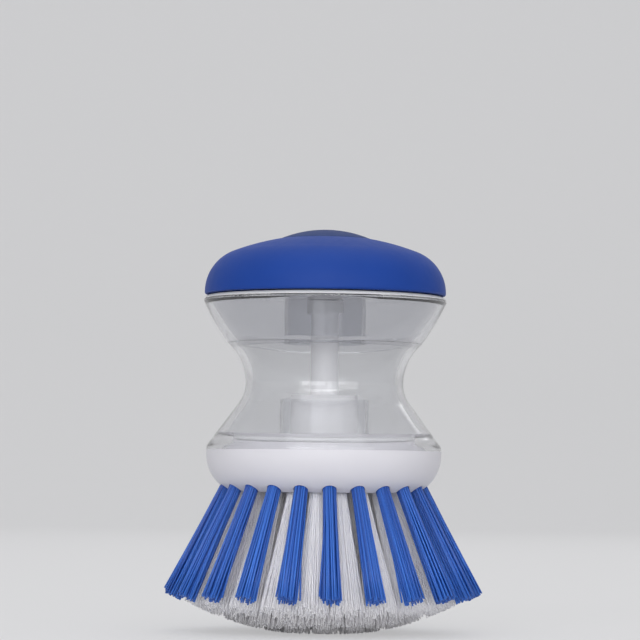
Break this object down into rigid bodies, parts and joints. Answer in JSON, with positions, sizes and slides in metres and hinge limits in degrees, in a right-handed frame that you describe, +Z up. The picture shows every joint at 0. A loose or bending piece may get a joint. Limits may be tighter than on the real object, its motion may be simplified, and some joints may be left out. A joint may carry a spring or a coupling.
{
  "type": "soap-dispensing palm scrub brush",
  "caption": "Round palm-held dish scrub brush with a clear hourglass soap reservoir, blue dome cap, push-button outlet valve, flared blue tufts and white inner bristles.",
  "frame": {"origin": "on the brush's axis, in the plane of the longest bristle tips, which it stands on", "axes": "+Z up along the axis to the button, -Y to the front where one blue tuft stands at the middle"},
  "size_m": [0.0874, 0.0882, 0.1106],
  "materials": {
    "blue_plastic": "satin moulded",
    "navy_rubber": "soft touch",
    "clear_plastic": "clear polished",
    "smoke_plastic": "smoke translucent",
    "frosted_plastic": "translucent",
    "white_plastic": "satin moulded",
    "seal_rubber": "silicone",
    "spring_steel": "bright wire",
    "blue_bristle": "drawn filament",
    "white_bristle": "drawn filament"
  },
  "bodies": {
    "reservoir": {"lower_bottle": "clear_plastic", "upper_bottle": "clear_plastic", "brush_base": "white_plastic", "base_seal": "seal_rubber", "outlet_seat": "seal_rubber", "valve_housing": "white_plastic", "housing_sleeve": "frosted_plastic", "return_spring": "spring_steel", "blue_tuft_01": "blue_bristle", "blue_tuft_02": "blue_bristle", "blue_tuft_03": "blue_bristle", "blue_tuft_04": "blue_bristle", "blue_tuft_05": "blue_bristle", "blue_tuft_06": "blue_bristle", "blue_tuft_07": "blue_bristle", "blue_tuft_08": "blue_bristle", "blue_tuft_09": "blue_bristle", "blue_tuft_10": "blue_bristle", "blue_tuft_11": "blue_bristle", "blue_tuft_12": "blue_bristle", "blue_tuft_13": "blue_bristle", "blue_tuft_14": "blue_bristle", "blue_tuft_15": "blue_bristle", "blue_tuft_16": "blue_bristle", "blue_tuft_17": "blue_bristle", "blue_tuft_18": "blue_bristle", "blue_tuft_19": "blue_bristle", "blue_tuft_20": "blue_bristle", "blue_tuft_21": "blue_bristle", "blue_tuft_22": "blue_bristle", "white_tufts_outer": "white_bristle", "white_tufts_middle": "white_bristle", "white_tufts_inner": "white_bristle", "blue_tuft_staples": "spring_steel", "white_tuft_staples": "spring_steel"},
    "gasket": {"cap_gasket": "seal_rubber"},
    "cap": {"grip_cap": "blue_plastic", "screw_cap": "smoke_plastic"},
    "button": {"push_button": "navy_rubber", "button_seal": "seal_rubber"},
    "valve": {"plunger_rod": "white_plastic", "spring_collar": "white_plastic", "valve_plug": "seal_rubber"}
  },
  "joints": [
    {"name": "cap_lift", "type": "slide", "parent": "reservoir", "child": "gasket", "axis": [0, 0, 1], "range_m": [0, 0.0022]},
    {"name": "cap_twist", "type": "hinge", "parent": "gasket", "child": "cap", "pos_m": [0, 0, 0.0923], "axis": [0, 0, 1], "range_deg": [0, 330]},
    {"name": "button_press", "type": "slide", "parent": "cap", "child": "button", "axis": [0, 0, -1], "range_m": [0, 0.0036], "stiffness_N_per_m": 400, "springref_m": -0.004},
    {"name": "valve_press", "type": "slide", "parent": "reservoir", "child": "valve", "axis": [0, 0, -1], "range_m": [0, 0.0036], "deforming": ["return_spring"]}
  ],
  "couplings": [
    {"joint": "cap_lift", "follows": "cap_twist", "m_per_rad": 0.00038197},
    {"joint": "valve_press", "follows": "button_press", "ratio": 1}
  ]
}
